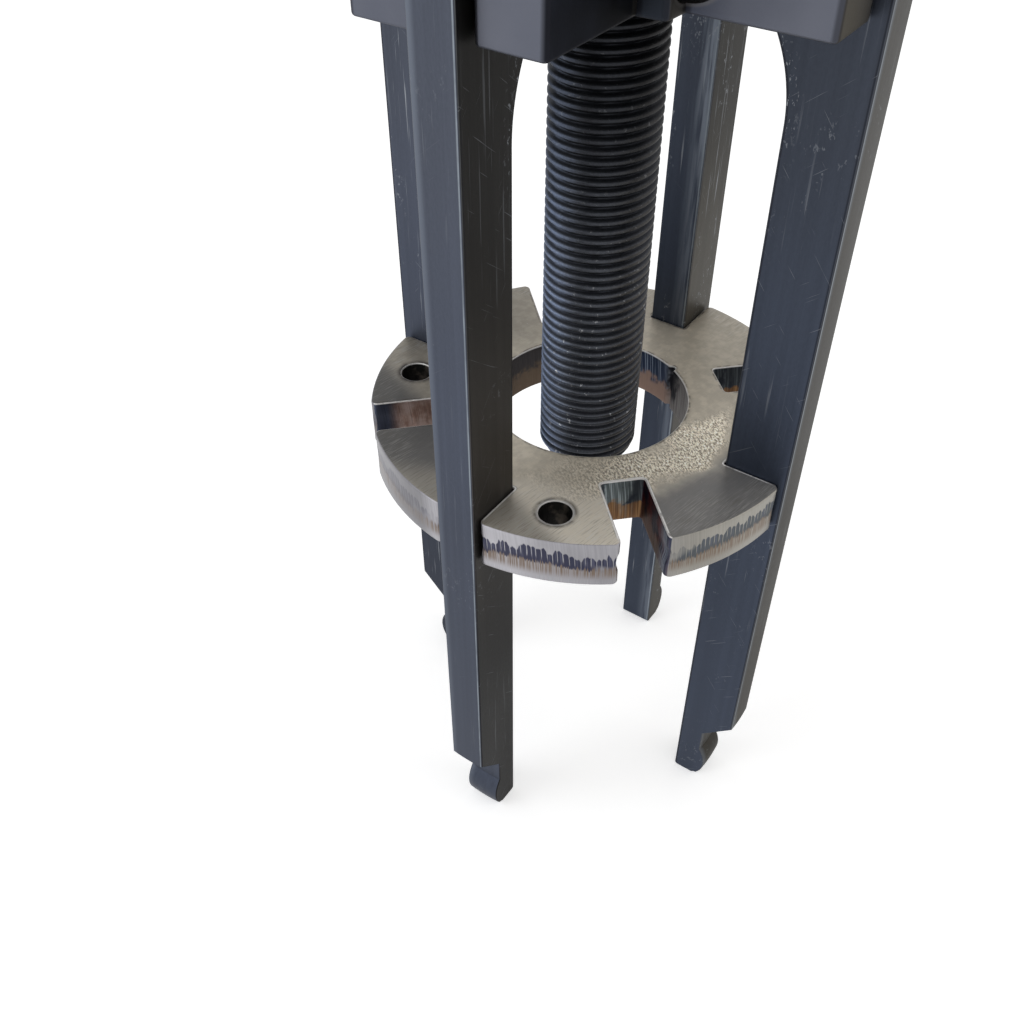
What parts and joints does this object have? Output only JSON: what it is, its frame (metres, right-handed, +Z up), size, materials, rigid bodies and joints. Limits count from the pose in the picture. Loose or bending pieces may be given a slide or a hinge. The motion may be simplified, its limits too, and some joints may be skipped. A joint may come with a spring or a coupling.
{
  "type": "four-leg bearing puller",
  "caption": "Bearing puller with flat hooked legs pinned in a forked crosshead, a slotted spacer ring that holds the legs apart, and a long hexagon-headed forcing screw with a swivelling thrust point.",
  "frame": {"origin": "on the floor under the soles of the four legs, on the forcing screw's axis", "axes": "+Z up along the forcing screw; the legs stand on +X (right), +Y (back), -X (left) and -Y (front)"},
  "size_m": [0.1008, 0.1008, 0.3462],
  "materials": {
    "blackened_leg_steel": "satin black oxide with bright wear along the edges",
    "ground_ring_steel": "ground flat faces, flame-cut and streaked edges",
    "phosphated_head_steel": "smooth satin, grey",
    "blackened_screw_steel": "oiled black oxide, polished thread crests",
    "fastener_steel": "black oxide",
    "point_steel": "hardened and ground bright steel"
  },
  "bodies": {
    "crosshead": {"crosshead": "phosphated_head_steel", "pivot_bolt_right": "fastener_steel", "pivot_washer_right": "fastener_steel", "pivot_nut_right": "fastener_steel", "pivot_bolt_back": "fastener_steel", "pivot_washer_back": "fastener_steel", "pivot_nut_back": "fastener_steel", "pivot_bolt_left": "fastener_steel", "pivot_washer_left": "fastener_steel", "pivot_nut_left": "fastener_steel", "pivot_bolt_front": "fastener_steel", "pivot_washer_front": "fastener_steel", "pivot_nut_front": "fastener_steel"},
    "leg_right": {"leg_right": "blackened_leg_steel"},
    "leg_back": {"leg_back": "blackened_leg_steel"},
    "leg_left": {"leg_left": "blackened_leg_steel"},
    "leg_front": {"leg_front": "blackened_leg_steel"},
    "spacer_ring": {"spacer_ring": "ground_ring_steel"},
    "screw_travel": {"thrust_point": "point_steel"},
    "forcing_screw": {"forcing_screw": "blackened_screw_steel"}
  },
  "joints": [
    {"name": "leg_right_swing", "type": "hinge", "parent": "crosshead", "child": "leg_right", "pos_m": [0.0389, 0, 0.2194], "axis": [0, -1, 0], "range_deg": [0, 90]},
    {"name": "leg_back_swing", "type": "hinge", "parent": "crosshead", "child": "leg_back", "pos_m": [0, 0.0389, 0.2194], "axis": [1, 0, 0], "range_deg": [0, 90]},
    {"name": "leg_left_swing", "type": "hinge", "parent": "crosshead", "child": "leg_left", "pos_m": [-0.0389, 0, 0.2194], "axis": [0, 1, 0], "range_deg": [0, 90]},
    {"name": "leg_front_swing", "type": "hinge", "parent": "crosshead", "child": "leg_front", "pos_m": [0, -0.0389, 0.2194], "axis": [-1, 0, 0], "range_deg": [0, 90]},
    {"name": "ring_slide", "type": "slide", "parent": "crosshead", "child": "spacer_ring", "axis": [0, 0, 1], "range_m": [-0.078, 0.072]},
    {"name": "screw_feed", "type": "slide", "parent": "crosshead", "child": "screw_travel", "axis": [0, 0, 1], "range_m": [-0.088, 0.0985]},
    {"name": "screw_turn", "type": "hinge", "parent": "screw_travel", "child": "forcing_screw", "pos_m": [0, 0, 0.2102], "axis": [0, 0, 1], "range_deg": [-15800, 17700]}
  ],
  "couplings": [
    {"joint": "screw_feed", "follows": "screw_turn", "m_per_rad": 0.00031831}
  ]
}
